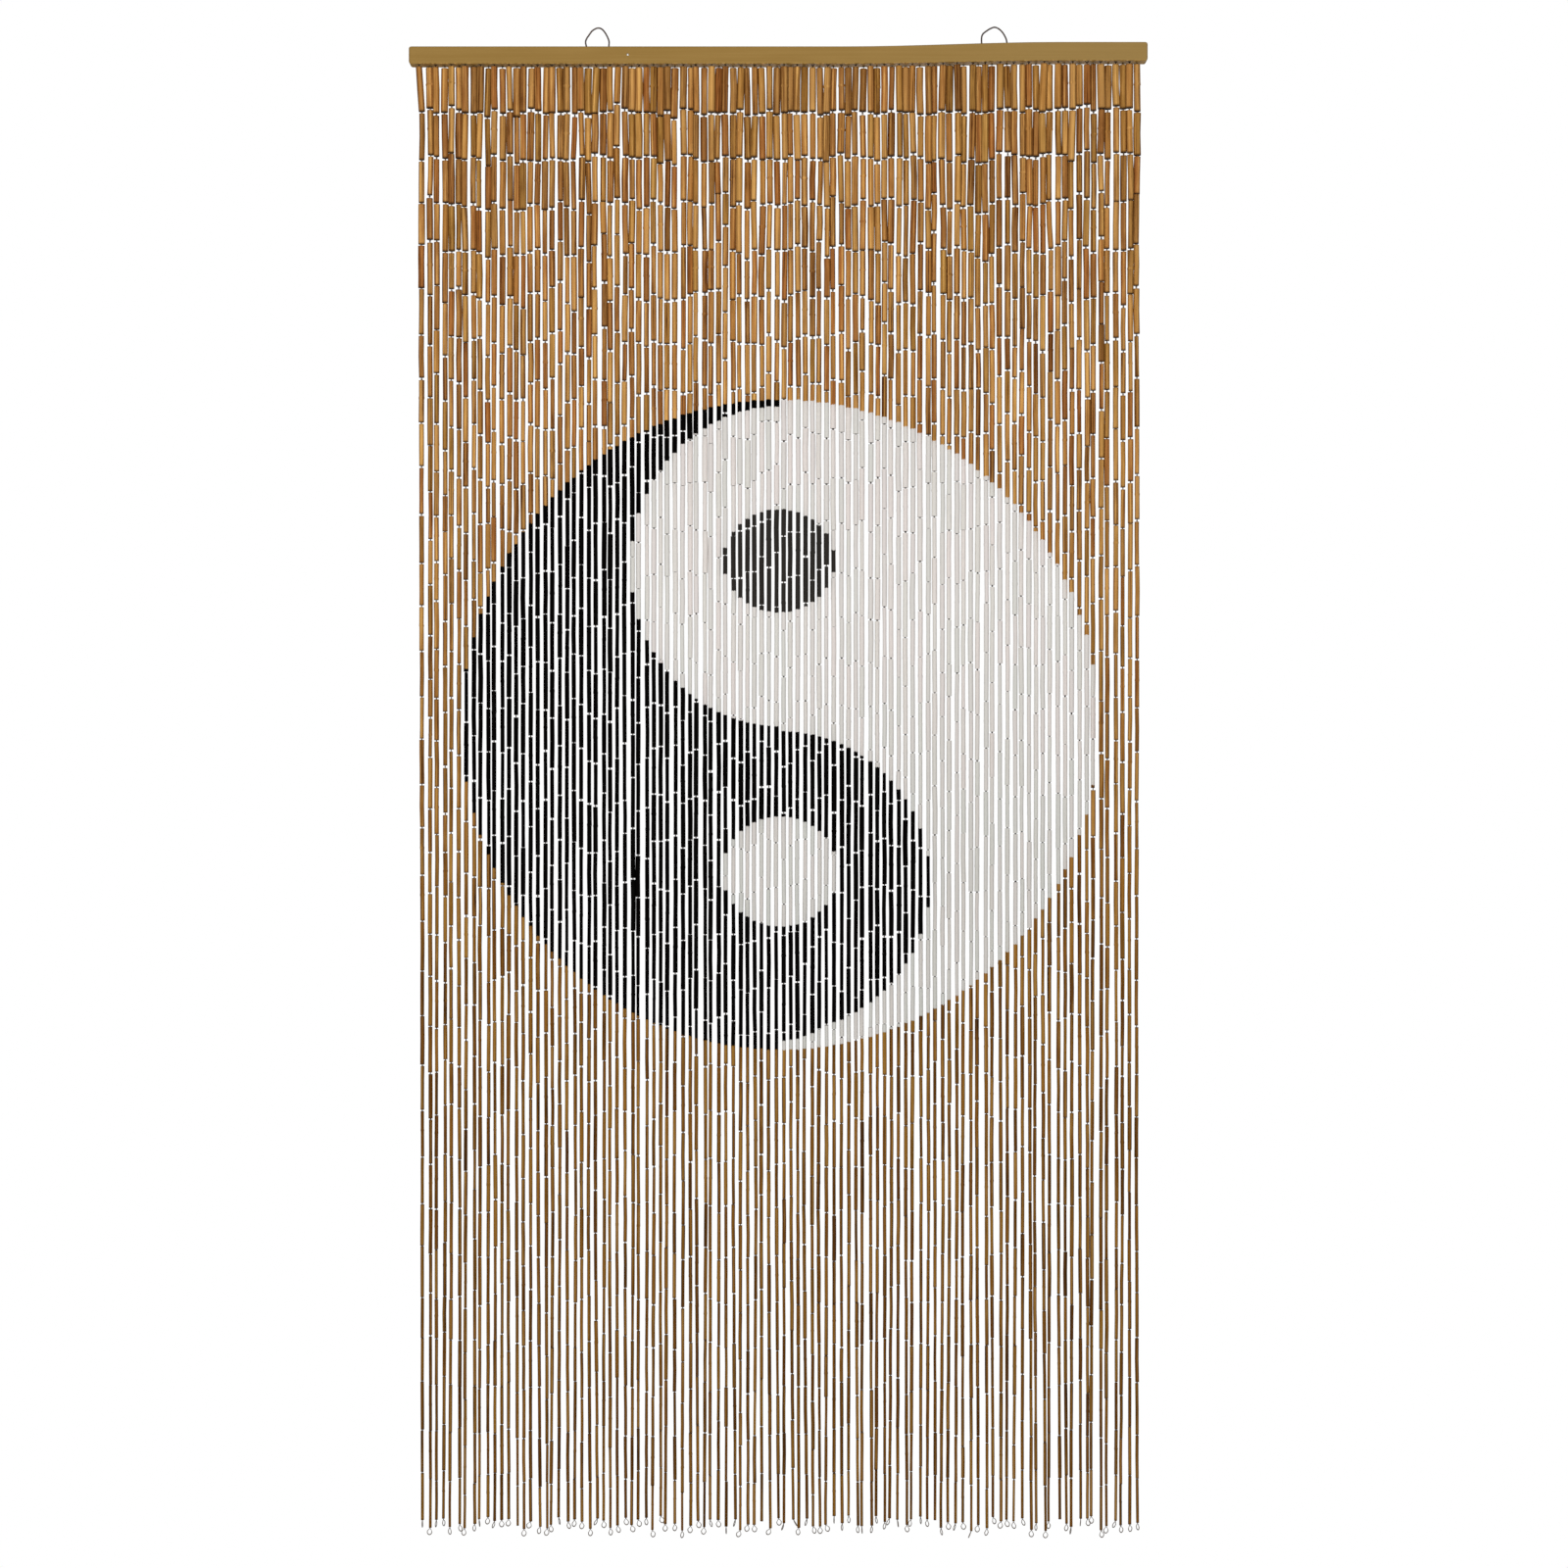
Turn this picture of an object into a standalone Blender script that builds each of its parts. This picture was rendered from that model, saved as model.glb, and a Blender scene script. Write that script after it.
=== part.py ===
"""Bamboo door curtain with its hanging bar, in metres, +Z up.

A painted wooden bar carries two wire hanging loops on its top edge and one hundred
strands under it. Each strand is a chain of thin bamboo tubes on wire, modelled here as
one slender four-sided body that tapers and bends as the chain does. The strands'
roots grow out of a narrow strip under the bar. The curtain faces -Y. The origin is the
middle of the bar's top face.
"""

import math
import random

import bpy
import bmesh
from mathutils import Vector

# Bar: a wooden batten whose right end stands higher and is a little taller
BAR_LENGTH = 1.000
BAR_DEPTH = 0.021
BAR_HEIGHT = 0.0232
BAR_TOP_RISE = 0.0060
BAR_UNDERSIDE_RISE = 0.0042
BAR_RISE_FROM_X = 0.09
BAR_RISE_TO_X = 0.38
BAR_RISE_STEPS = 8
BAR_CORNER = 0.0030
BAR_EDGE = 0.0008

# Hanging loops: bent wire, with both legs driven into the bar's top
WIRE_RADIUS = 0.0012
LEG_DEPTH = 0.010
LOOP_SIDES_RESOLUTION = 2
LOOP_STEPS = 3

# Nail in the bar's front face, beside the left loop
NAIL_X = -0.2036
NAIL_Z = -0.0114
NAIL_HEAD_RADIUS = 0.0017
NAIL_HEAD_THICKNESS = 0.0007
NAIL_SHANK_RADIUS = 0.0006
NAIL_LENGTH = 0.012

# Strands: their number, the width they fill and the two rows that they hang in
STRAND_COUNT = 100
STRAND_WIDTH = 0.9792
STRAND_CENTRE_X = 0.0022
STRAND_ROW_Y = 0.0045
STRAND_END_Z = -2.0025
STRAND_END_RAGGED = 0.009
TUBE_ROW_PITCH = 0.0619
TAIL_LENGTH = 0.0105
TAIL_RADIUS = 0.0016
ROOT_RADIUS = 0.0014
ROOT_STRAY = 0.0030
SHOULDER = 0.0034
BEND_SEED = 41

# Strip: the narrow backing that joins the strands' roots
STRIP_WIDTH = 0.0150
STRIP_THICKNESS = 0.0016

CLEARANCE = 0.0003
HOLE_SIDES = 12
HOLE_SPARE_DEPTH = 0.0004
FULL_TURN = 2 * math.pi

# Each loop's wire from leg to leg: distance from its middle and height, millimetres
LEFT_LOOP_X = -0.2453
LEFT_LOOP_MM = (
    # across, height
    (-14.2, 0.0),
    (-16.2, 7.5),
    (-14.9, 13.0),
    (-11.4, 18.0),
    (-7.7, 23.3),
    (-3.1, 26.4),
    (1.1, 27.6),
    (5.5, 26.4),
    (9.2, 22.8),
    (12.2, 18.0),
    (14.8, 12.5),
    (15.8, 7.5),
    (14.9, 0.0),
)
RIGHT_LOOP_X = 0.2932
RIGHT_LOOP_MM = (
    # across, height
    (-16.9, 3.0),
    (-17.4, 11.1),
    (-16.8, 17.0),
    (-14.6, 20.5),
    (-11.3, 23.0),
    (-6.9, 26.0),
    (-2.1, 28.2),
    (1.0, 28.6),
    (5.3, 27.0),
    (9.7, 23.4),
    (13.4, 18.3),
    (16.1, 12.6),
    (17.1, 7.5),
    (17.1, 3.0),
)

# Tube diameter down a strand
STRAND_TAPER = (
    # depth below the bar (m), diameter (m)
    (0.00, 0.0098),
    (0.07, 0.0092),
    (0.16, 0.0083),
    (0.42, 0.0071),
    (0.71, 0.0064),
    (1.11, 0.0054),
    (1.35, 0.0048),
    (1.67, 0.0046),
    (1.90, 0.0043),
    (1.98, 0.0038),
)

# Tube joints at which a strand bends, and how far sideways it strays there as a rule.
# A strand keeps a share of its last stray and adds a fresh one, up to a most. The first
# strand's top leans out to the bar's end.
STRAND_BENDS = (
    # joint number from the top, usual stray (m)
    (0, 0.0010),
    (1, 0.0011),
    (2, 0.0011),
    (3, 0.0010),
    (4, 0.0009),
    (7, 0.0007),
    (12, 0.0006),
    (18, 0.0007),
    (25, 0.0011),
)
END_STRAY = 0.0018
STRAY_MEMORY = 0.60
STRAY_FRESH = 0.80
STRAY_MOST = 1.90
DEPTH_STRAY = 0.0002
FIRST_STRAND_LEAN = 0.0050

STRAND_PITCH = STRAND_WIDTH / STRAND_COUNT


def clear_scene():
    """Remove every object that the file starts with."""
    for obj in list(bpy.data.objects):
        bpy.data.objects.remove(obj, do_unlink=True)


def make_material(name, colour, roughness, metallic=0.0):
    """One plain surface for one kind of piece."""
    material = bpy.data.materials.new(name)
    material.use_nodes = True
    shader = material.node_tree.nodes["Principled BSDF"]
    shader.inputs["Base Color"].default_value = (*colour, 1.0)
    shader.inputs["Roughness"].default_value = roughness
    shader.inputs["Metallic"].default_value = metallic
    material.diffuse_color = (*colour, 1.0)
    return material


def add_object(name, bm, material):
    """Turn a finished bmesh into a named object."""
    mesh = bpy.data.meshes.new(name)
    bm.to_mesh(mesh)
    bm.free()
    obj = bpy.data.objects.new(name, mesh)
    bpy.context.scene.collection.objects.link(obj)
    mesh.materials.append(material)
    return obj


def ease(t):
    """Smooth rise from 0 to 1."""
    t = min(max(t, 0.0), 1.0)
    return t * t * (3.0 - 2.0 * t)


def between(table, depth):
    """Straight-line reading of a two-column table."""
    for (d0, v0), (d1, v1) in zip(table, table[1:]):
        if depth <= d1:
            return v0 + (v1 - v0) * max(depth - d0, 0.0) / (d1 - d0)
    return table[-1][1]


def risen(x):
    """How much of its rise the bar has made at x, from 0 to 1."""
    return ease((x - BAR_RISE_FROM_X) / (BAR_RISE_TO_X - BAR_RISE_FROM_X))


def bar_top_z(x):
    """Height of the bar's top edge at x."""
    return BAR_TOP_RISE * risen(x)


def bar_underside_z(x):
    """Height of the bar's underside at x."""
    return -BAR_HEIGHT + BAR_UNDERSIDE_RISE * risen(x)


def strip_bottom_z(x):
    """Height of the underside of the strip that joins the strands' roots."""
    return bar_underside_z(x) - CLEARANCE - STRIP_THICKNESS


def drill(bar, name, radius, depth, place, turn):
    """Cut a blind round hole into the bar, its mouth at place."""
    bm = bmesh.new()
    bmesh.ops.create_cone(
        bm,
        cap_ends=True,
        segments=HOLE_SIDES,
        radius1=radius,
        radius2=radius,
        depth=2 * depth,
    )
    mesh = bpy.data.meshes.new(name)
    bm.to_mesh(mesh)
    bm.free()
    cutter = bpy.data.objects.new(name, mesh)
    cutter.location = place
    cutter.rotation_euler = turn
    cutter.hide_render = True
    cutter.display_type = "WIRE"
    bpy.context.scene.collection.objects.link(cutter)
    cut = bar.modifiers.new(name, "BOOLEAN")
    cut.operation = "DIFFERENCE"
    cut.solver = "EXACT"
    cut.object = cutter


def build_bar(material):
    """The batten: its front outline, pushed back to its depth, with eased edges."""
    rise_length = BAR_RISE_TO_X - BAR_RISE_FROM_X
    stations = [-BAR_LENGTH / 2]
    for step in range(BAR_RISE_STEPS + 1):
        stations.append(BAR_RISE_FROM_X + rise_length * step / BAR_RISE_STEPS)
    stations.append(BAR_LENGTH / 2)

    bm = bmesh.new()
    under = [bm.verts.new((x, -BAR_DEPTH / 2, bar_underside_z(x))) for x in stations]
    over = [bm.verts.new((x, -BAR_DEPTH / 2, bar_top_z(x))) for x in stations]
    front = [bm.faces.new(four) for four in zip(under, under[1:], over[1:], over)]
    pushed = bmesh.ops.extrude_face_region(bm, geom=front, use_keep_orig=True)
    moved = [v for v in pushed["geom"] if isinstance(v, bmesh.types.BMVert)]
    bmesh.ops.translate(bm, verts=moved, vec=(0.0, BAR_DEPTH, 0.0))

    ends = [
        edge
        for edge in bm.edges
        if all(abs(abs(v.co.x) - BAR_LENGTH / 2) < BAR_EDGE for v in edge.verts)
        and abs(edge.verts[0].co.y - edge.verts[1].co.y) > BAR_EDGE
    ]
    bmesh.ops.bevel(
        bm,
        geom=ends,
        offset=BAR_CORNER,
        segments=3,
        profile=0.5,
        affect="EDGES",
        material=-1,
    )
    bmesh.ops.recalc_face_normals(bm, faces=bm.faces)
    bar = add_object("header_bar", bm, material)

    edge = bar.modifiers.new("eased_edges", "BEVEL")
    edge.width = BAR_EDGE
    edge.segments = 2
    edge.limit_method = "ANGLE"
    edge.angle_limit = math.radians(50)
    return bar


def smooth_wire(points, steps):
    """Points of a smooth curve through the given ones, steps to each span."""
    padded = [points[0]] + list(points) + [points[-1]]
    line = []
    for a, b, c, d in zip(padded, padded[1:], padded[2:], padded[3:]):
        for step in range(steps):
            t = step / steps
            bend = (
                2 * b
                + (c - a) * t
                + (2 * a - 5 * b + 4 * c - d) * t * t
                + (3 * b - a - 3 * c + d) * t * t * t
            )
            line.append(bend / 2)
    line.append(points[-1])
    return line


def build_loop(name, middle_x, table, bar, material):
    """A hanging loop of bent wire, and the two holes that its legs stand in."""
    shape = [Vector((middle_x + x / 1000, 0.0, z / 1000)) for x, z in table]
    line = smooth_wire(shape, LOOP_STEPS)
    line[0].z = bar_top_z(line[0].x)
    line[-1].z = bar_top_z(line[-1].x)
    feet = (line[0].copy(), line[-1].copy())
    route = [foot - Vector((0.0, 0.0, LEG_DEPTH)) for foot in feet]
    line = [route[0]] + line + [route[1]]

    curve = bpy.data.curves.new(name, "CURVE")
    curve.dimensions = "3D"
    curve.bevel_depth = WIRE_RADIUS
    curve.bevel_resolution = LOOP_SIDES_RESOLUTION
    curve.use_fill_caps = True
    spline = curve.splines.new("POLY")
    spline.points.add(len(line) - 1)
    for point, place in zip(spline.points, line):
        point.co = (*place, 1.0)
    spline.use_smooth = True
    curve.materials.append(material)
    loop = bpy.data.objects.new(name, curve)
    bpy.context.scene.collection.objects.link(loop)

    half_side = FULL_TURN / 2 / HOLE_SIDES
    hole_radius = (WIRE_RADIUS + CLEARANCE) / math.cos(half_side)
    for number, foot in enumerate(feet, start=1):
        depth = LEG_DEPTH + HOLE_SPARE_DEPTH
        drill(bar, f"{name}_hole_{number}", hole_radius, depth, foot, (0, 0, half_side))
    return loop


def build_nail(bar, material):
    """A wire nail in the bar's front face, turned from its half outline."""
    head_front = -BAR_DEPTH / 2 - CLEARANCE - NAIL_HEAD_THICKNESS
    head_back = -BAR_DEPTH / 2 - CLEARANCE
    tip = head_back + NAIL_LENGTH
    profile = (
        (0.0, head_front),
        (NAIL_HEAD_RADIUS * 0.8, head_front),
        (NAIL_HEAD_RADIUS, head_front + NAIL_HEAD_THICKNESS / 2),
        (NAIL_HEAD_RADIUS, head_back),
        (NAIL_SHANK_RADIUS, head_back),
        (NAIL_SHANK_RADIUS, tip - 2 * NAIL_SHANK_RADIUS),
        (0.0, tip),
    )
    bm = bmesh.new()
    verts = [bm.verts.new((radius, y, 0.0)) for radius, y in profile]
    edges = [bm.edges.new(pair) for pair in zip(verts, verts[1:])]
    bmesh.ops.spin(
        bm,
        geom=verts + edges,
        cent=(0, 0, 0),
        axis=(0, 1, 0),
        angle=FULL_TURN,
        steps=HOLE_SIDES,
        use_merge=True,
    )
    bmesh.ops.remove_doubles(bm, verts=bm.verts, dist=1e-6)
    bmesh.ops.recalc_face_normals(bm, faces=bm.faces)
    nail = add_object("header_nail", bm, material)
    nail.location = (NAIL_X, 0.0, NAIL_Z)
    nail.data.shade_smooth()
    nail.data.set_sharp_from_angle(angle=math.radians(40))

    wall = math.cos(FULL_TURN / 2 / HOLE_SIDES)
    hole_radius = (NAIL_SHANK_RADIUS + CLEARANCE) / wall
    depth = NAIL_LENGTH + HOLE_SPARE_DEPTH
    mouth = Vector((NAIL_X, -BAR_DEPTH / 2, NAIL_Z))
    drill(bar, "nail_hole", hole_radius, depth, mouth, (math.pi / 2, 0, 0))
    return nail


def strand_path(number):
    """Centre and radius of one strand at its root, its bends, its end and its tail.

    The tail is the wire eye below the last tube.
    """
    chance = random.Random(BEND_SEED * 1000 + number)
    home_x = STRAND_CENTRE_X + (number - (STRAND_COUNT - 1) / 2) * STRAND_PITCH
    row_y = STRAND_ROW_Y if number % 2 else -STRAND_ROW_Y
    top_z = strip_bottom_z(home_x) - SHOULDER
    levels = [(top_z - joint * TUBE_ROW_PITCH, stray) for joint, stray in STRAND_BENDS]
    ragged = chance.uniform(-STRAND_END_RAGGED, STRAND_END_RAGGED)
    levels.append((STRAND_END_Z + ragged, END_STRAY))

    path = []
    offset = 0.0
    for z, stray in levels:
        offset = STRAY_MEMORY * offset + STRAY_FRESH * chance.gauss(0.0, stray)
        offset = min(max(offset, -STRAY_MOST * stray), STRAY_MOST * stray)
        y = row_y + chance.uniform(-DEPTH_STRAY, DEPTH_STRAY)
        radius = between(STRAND_TAPER, top_z - z) / 2
        path.append((Vector((home_x + offset, y, z)), radius))
    top = path[0][0]
    root_x = min(max(top.x, home_x - ROOT_STRAY), home_x + ROOT_STRAY)
    root = Vector((root_x, top.y, strip_bottom_z(root_x)))
    if number == 0:
        top.x -= FIRST_STRAND_LEAN
    tail = path[-1][0] - Vector((0.0, 0.0, TAIL_LENGTH))
    return [(root, ROOT_RADIUS)] + path + [(tail, TAIL_RADIUS)]


def corner_order(face):
    """Numbers of a cell's corners, going round from its front left one."""
    middle = face.calc_center_median()
    turns = [math.atan2(v.co.y - middle.y, v.co.x - middle.x) for v in face.verts]
    return sorted(range(len(turns)), key=lambda corner: turns[corner])


def place_ring(face, order, centre, radius):
    """Set a face's four corners as a square on edge round a centre."""
    for corner, (x, y) in zip(order, ((0, -1), (1, 0), (0, 1), (-1, 0))):
        face.verts[corner].co = centre + Vector((x * radius, y * radius, 0.0))


def build_strands(material):
    """The strip, one cell to a strand, and each strand pulled down out of its cell."""
    bm = bmesh.new()
    bmesh.ops.create_grid(bm, x_segments=STRAND_COUNT, y_segments=1, size=0.5)
    bmesh.ops.scale(bm, vec=(STRAND_WIDTH, STRIP_WIDTH, 1.0), verts=bm.verts)
    bmesh.ops.translate(bm, vec=(STRAND_CENTRE_X, 0.0, 0.0), verts=bm.verts)
    for vert in bm.verts:
        vert.co.z = strip_bottom_z(vert.co.x)
    cells = list(bm.faces)
    lifted = bmesh.ops.extrude_face_region(bm, geom=cells, use_keep_orig=True)
    raised = [v for v in lifted["geom"] if isinstance(v, bmesh.types.BMVert)]
    bmesh.ops.translate(bm, vec=(0.0, 0.0, STRIP_THICKNESS), verts=raised)

    cells.sort(key=lambda cell: cell.calc_center_median().x)
    for number, cell in enumerate(cells):
        path = strand_path(number)
        bmesh.ops.inset_individual(bm, faces=[cell], thickness=ROOT_RADIUS, depth=0.0)
        order = corner_order(cell)
        place_ring(cell, order, *path[0])
        for point, radius in path[1:]:
            pulled = bmesh.ops.extrude_discrete_faces(bm, faces=[cell])
            cell = pulled["faces"][0]
            place_ring(cell, order, point, radius)
    bmesh.ops.recalc_face_normals(bm, faces=bm.faces)
    return add_object("strands", bm, material)


def build_curtain():
    """Every piece of the curtain."""
    clear_scene()
    painted_wood = make_material("painted_wood", (0.319, 0.191, 0.056), 0.62)
    loop_wire = make_material("loop_wire", (0.155, 0.127, 0.114), 0.45, 0.8)
    nail_steel = make_material("nail_steel", (0.62, 0.60, 0.56), 0.30, 1.0)
    bamboo = make_material("bamboo", (0.305, 0.155, 0.066), 0.55)

    bar = build_bar(painted_wood)
    build_loop("hang_loop_left", LEFT_LOOP_X, LEFT_LOOP_MM, bar, loop_wire)
    build_loop("hang_loop_right", RIGHT_LOOP_X, RIGHT_LOOP_MM, bar, loop_wire)
    build_nail(bar, nail_steel)
    build_strands(bamboo)


build_curtain()
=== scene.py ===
"""A bamboo door curtain: a painted bar with wire loops and a hundred strands of tubes.

Lengths are in metres. X runs to the right, Z up, and the curtain faces -Y.
"""

import math
import random

import bmesh
import bpy
import numpy as np
from mathutils import Matrix, Vector


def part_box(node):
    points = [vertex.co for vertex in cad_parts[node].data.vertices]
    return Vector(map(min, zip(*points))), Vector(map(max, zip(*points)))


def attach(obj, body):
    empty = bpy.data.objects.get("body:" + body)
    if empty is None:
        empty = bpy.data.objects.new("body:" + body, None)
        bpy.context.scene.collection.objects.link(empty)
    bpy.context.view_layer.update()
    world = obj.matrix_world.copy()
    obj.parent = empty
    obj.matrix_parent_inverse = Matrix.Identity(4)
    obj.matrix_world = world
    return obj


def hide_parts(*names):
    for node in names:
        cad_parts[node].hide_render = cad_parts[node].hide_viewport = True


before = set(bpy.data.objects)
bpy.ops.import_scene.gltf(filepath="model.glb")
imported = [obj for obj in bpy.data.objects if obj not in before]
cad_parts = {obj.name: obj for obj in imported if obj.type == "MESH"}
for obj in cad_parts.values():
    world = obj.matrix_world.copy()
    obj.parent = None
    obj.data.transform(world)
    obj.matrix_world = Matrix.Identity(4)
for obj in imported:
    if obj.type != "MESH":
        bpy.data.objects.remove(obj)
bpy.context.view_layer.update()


# Bar
# A planed wooden batten under one even coat of khaki-gold paint, sawn off square at
# both ends. The paint has filled the grain, so that only a faint streak shows along it.

BAR_TOP_RISE = 0.0060
BAR_UNDERSIDE_RISE = 0.0042
BAR_RISE_FROM_X = 0.09
BAR_RISE_TO_X = 0.38
EDGE_WEAR_FROM = 0.0016
EDGE_WEAR_FULL = 0.0002
END_WEAR = 0.0025
UNDERSIDE_REACH = 0.0011
PALER_FROM_X = 0.0
PALER_TO_X = 0.4
BAR_GRAIN = (6.0, 420.0, 420.0)
BAR_CLOUDS = (9.0, 30.0, 40.0)
BAR_SPECKS = 900.0
PLANE_MARKS = (260.0, 120.0, 120.0)
PAINT_BUMP = 0.0002


def rgb(red, green, blue):
    """A colour as seen on a screen, 0 to 255, turned into the light that it stands for."""
    steps = [part / 255.0 for part in (red, green, blue)]
    light = [s / 12.92 if s <= 0.04045 else ((s + 0.055) / 1.055) ** 2.4 for s in steps]
    return (*light, 1.0)


class Reading:
    """A number or colour that varies over a surface. Sums on it become Math nodes."""

    def __init__(self, finish, socket):
        self.finish = finish
        self.socket = socket

    def worked(self, operation, *values):
        """One Math node on this reading's own finish."""
        sockets = dict(enumerate(values))
        return self.finish.node("ShaderNodeMath", {"operation": operation}, sockets)

    def __add__(self, other):
        return self.worked("ADD", self, other)

    __radd__ = __add__

    def __mul__(self, other):
        return self.worked("MULTIPLY", self, other)

    __rmul__ = __mul__

    def __sub__(self, other):
        return self.worked("SUBTRACT", self, other)

    def __rsub__(self, other):
        return self.worked("SUBTRACT", other, self)

    def __truediv__(self, other):
        return self.worked("DIVIDE", self, other)

    def __lt__(self, other):
        return self.worked("LESS_THAN", self, other)

    def __gt__(self, other):
        return self.worked("GREATER_THAN", self, other)

    def __abs__(self):
        return self.worked("ABSOLUTE", self)

    def clamp(self, low=0.0, high=1.0):
        """The same reading kept between two numbers."""
        return self.worked("MAXIMUM", self.worked("MINIMUM", self, high), low)

    def fade(self, start, end):
        """0 at start and 1 at end, straight between them."""
        return ((self - start) / (end - start)).clamp()

    def mixed(self, first, second):
        """first where this reading is 0 and second where it is 1, as a colour."""
        settings = {"data_type": "RGBA"}
        # Sockets 6 and 7 take the Mix node's two colours, and output 2 gives the mixed one
        sockets = {0: self, 6: first, 7: second}
        return self.finish.node("ShaderNodeMix", settings, sockets, output=2)


class Finish:
    """One material: its Principled shader, and one method that adds every other node."""

    def __init__(self, name):
        self.material = bpy.data.materials.new(name)
        self.material.use_nodes = True
        self.nodes = self.material.node_tree.nodes
        self.links = self.material.node_tree.links
        self.shader = self.nodes["Principled BSDF"]

    def node(self, kind, settings=None, sockets=None, output=0):
        """Add a node: its settings first, then a value or a link for each input."""
        made = self.nodes.new(kind)
        for setting, value in (settings or {}).items():
            if setting == "stops":
                self.set_stops(made.color_ramp.elements, value)
            else:
                setattr(made, setting, value)
        for place, value in (sockets or {}).items():
            self.join(made.inputs[place], value)
        return Reading(self, made.outputs[output])

    def join(self, socket, value):
        """Link a reading to an input, or set the input to a plain value."""
        if isinstance(value, Reading):
            self.links.new(value.socket, socket)
        else:
            socket.default_value = value

    def set_stops(self, elements, stops):
        """Give a ramp its stops, each a place and a colour."""
        while len(elements) < len(stops):
            elements.new(1.0)
        for element, (place, colour) in zip(elements, stops):
            element.position = place
            element.color = colour

    def surface(self, **inputs):
        """Set or link inputs of the Principled shader, named with underscores."""
        for name, value in inputs.items():
            self.join(self.shader.inputs[name.replace("_", " ")], value)

    def place(self):
        """Where a point lies on the object, in metres: the fourth output, Object."""
        return self.node("ShaderNodeTexCoord", output=3)

    def parts(self, vector):
        """The three numbers of a vector."""
        split = self.node("ShaderNodeSeparateXYZ", sockets={0: vector}).socket.node
        return [Reading(self, socket) for socket in split.outputs]

    def stretched(self, vector, scale):
        """The same place with each direction scaled by its own amount."""
        sockets = {"Vector": vector, "Scale": scale}
        return self.node("ShaderNodeMapping", {"vector_type": "POINT"}, sockets)

    def noise(self, vector, scale=1.0, detail=2.0, roughness=0.5):
        """Soft cloudy noise, from about 0 to 1."""
        sockets = {"Vector": vector, "Scale": scale, "Detail": detail}
        sockets["Roughness"] = roughness
        return self.node("ShaderNodeTexNoise", sockets=sockets)

    def bumped(self, height, strength, distance):
        """A surface direction tilted by a height, with distance in metres."""
        sockets = {"Strength": strength, "Distance": distance, "Height": height}
        return self.node("ShaderNodeBump", sockets=sockets)


def eased(share):
    """A share from 0 to 1 that starts and ends gently. It works on numbers and readings."""
    return share * share * (3.0 - 2.0 * share)


def paint_bar():
    """Even paint with a faint grain, thin along the top edge and rough under the bar."""
    finish = Finish("bar_paint")
    place = finish.place()
    x, y, z = finish.parts(place)
    bar_low, bar_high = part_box("header_bar")
    grain = finish.noise(finish.stretched(place, BAR_GRAIN), 1.0, 3.0)
    cloud = finish.noise(finish.stretched(place, BAR_CLOUDS), 1.0, 2.0)
    specks = finish.noise(place, BAR_SPECKS, 2.0, 0.7)
    khaki, gold = rgb(150, 117, 60), rgb(162, 129, 72)
    shade = grain * 0.5 + cloud * 0.35 + specks * 0.15
    coat = shade.fade(0.33, 0.67).mixed(khaki, gold)
    paler_gold = rgb(164, 137, 86)
    coat = (x.fade(PALER_FROM_X, PALER_TO_X) * 0.4).mixed(coat, paler_gold)

    rise = eased(x.fade(BAR_RISE_FROM_X, BAR_RISE_TO_X))
    top_edge = (rise * BAR_TOP_RISE - z).fade(EDGE_WEAR_FROM, EDGE_WEAR_FULL) * 0.45
    above_underside = z - bar_low.z - rise * BAR_UNDERSIDE_RISE
    ends = abs(x).fade(bar_high.x - END_WEAR, bar_high.x) * 0.5
    worn_edge = rgb(98, 78, 46)
    scuffed = (top_edge + ends).clamp().mixed(coat, worn_edge)
    underside = above_underside.fade(UNDERSIDE_REACH, EDGE_WEAR_FULL)
    rough = finish.noise(finish.stretched(place, PLANE_MARKS), 1.0, 3.0, 0.7)
    thin_paint, bare_wood = rgb(150, 116, 58), rgb(205, 162, 90)
    bare = rough.fade(0.40, 0.62).mixed(thin_paint, bare_wood)
    relief = grain * 0.6 + specks * 0.2 + rough * underside
    finish.surface(
        Base_Color=(underside * 0.85).mixed(scuffed, bare),
        Roughness=0.50 + 0.16 * cloud,
        Normal=finish.bumped(relief, 0.35, PAINT_BUMP),
        Specular_IOR_Level=0.03,
    )
    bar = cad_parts["header_bar"]
    bar.data.materials.clear()
    bar.data.materials.append(finish.material)


paint_bar()


# Hanging loops
# Soft 2.4 mm steel wire, bent by hand into two uneven loops whose legs are driven into
# the bar's top. The wire is dull and spotted with rust.

SAME_PLACE = 0.00001
LOOP_SHARP_ANGLE = 60
LOOP_SMOOTHING = 1
RUST_SPOTS = 420.0
DRAWN_MARKS = (2500.0, 2500.0, 300.0)
WIRE_BUMP = 0.00008


def smooth_copy(node, name, material, sharp_angle, levels):
    """A merged, smooth-shaded copy of a small solid, which then stands for it."""
    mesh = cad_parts[node].data.copy()
    mesh.name = name
    bm = bmesh.new()
    bm.from_mesh(mesh)
    bmesh.ops.remove_doubles(bm, verts=bm.verts, dist=SAME_PLACE)
    bm.to_mesh(mesh)
    bm.free()
    mesh.materials.clear()
    mesh.materials.append(material)
    mesh.shade_smooth()
    mesh.set_sharp_from_angle(angle=math.radians(sharp_angle))
    piece = bpy.data.objects.new(name, mesh)
    bpy.context.scene.collection.objects.link(piece)
    if levels:
        rounded = piece.modifiers.new("rounded", "SUBSURF")
        rounded.levels = levels
        rounded.render_levels = levels
    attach(piece, "root")
    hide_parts(node)
    return piece


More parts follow.
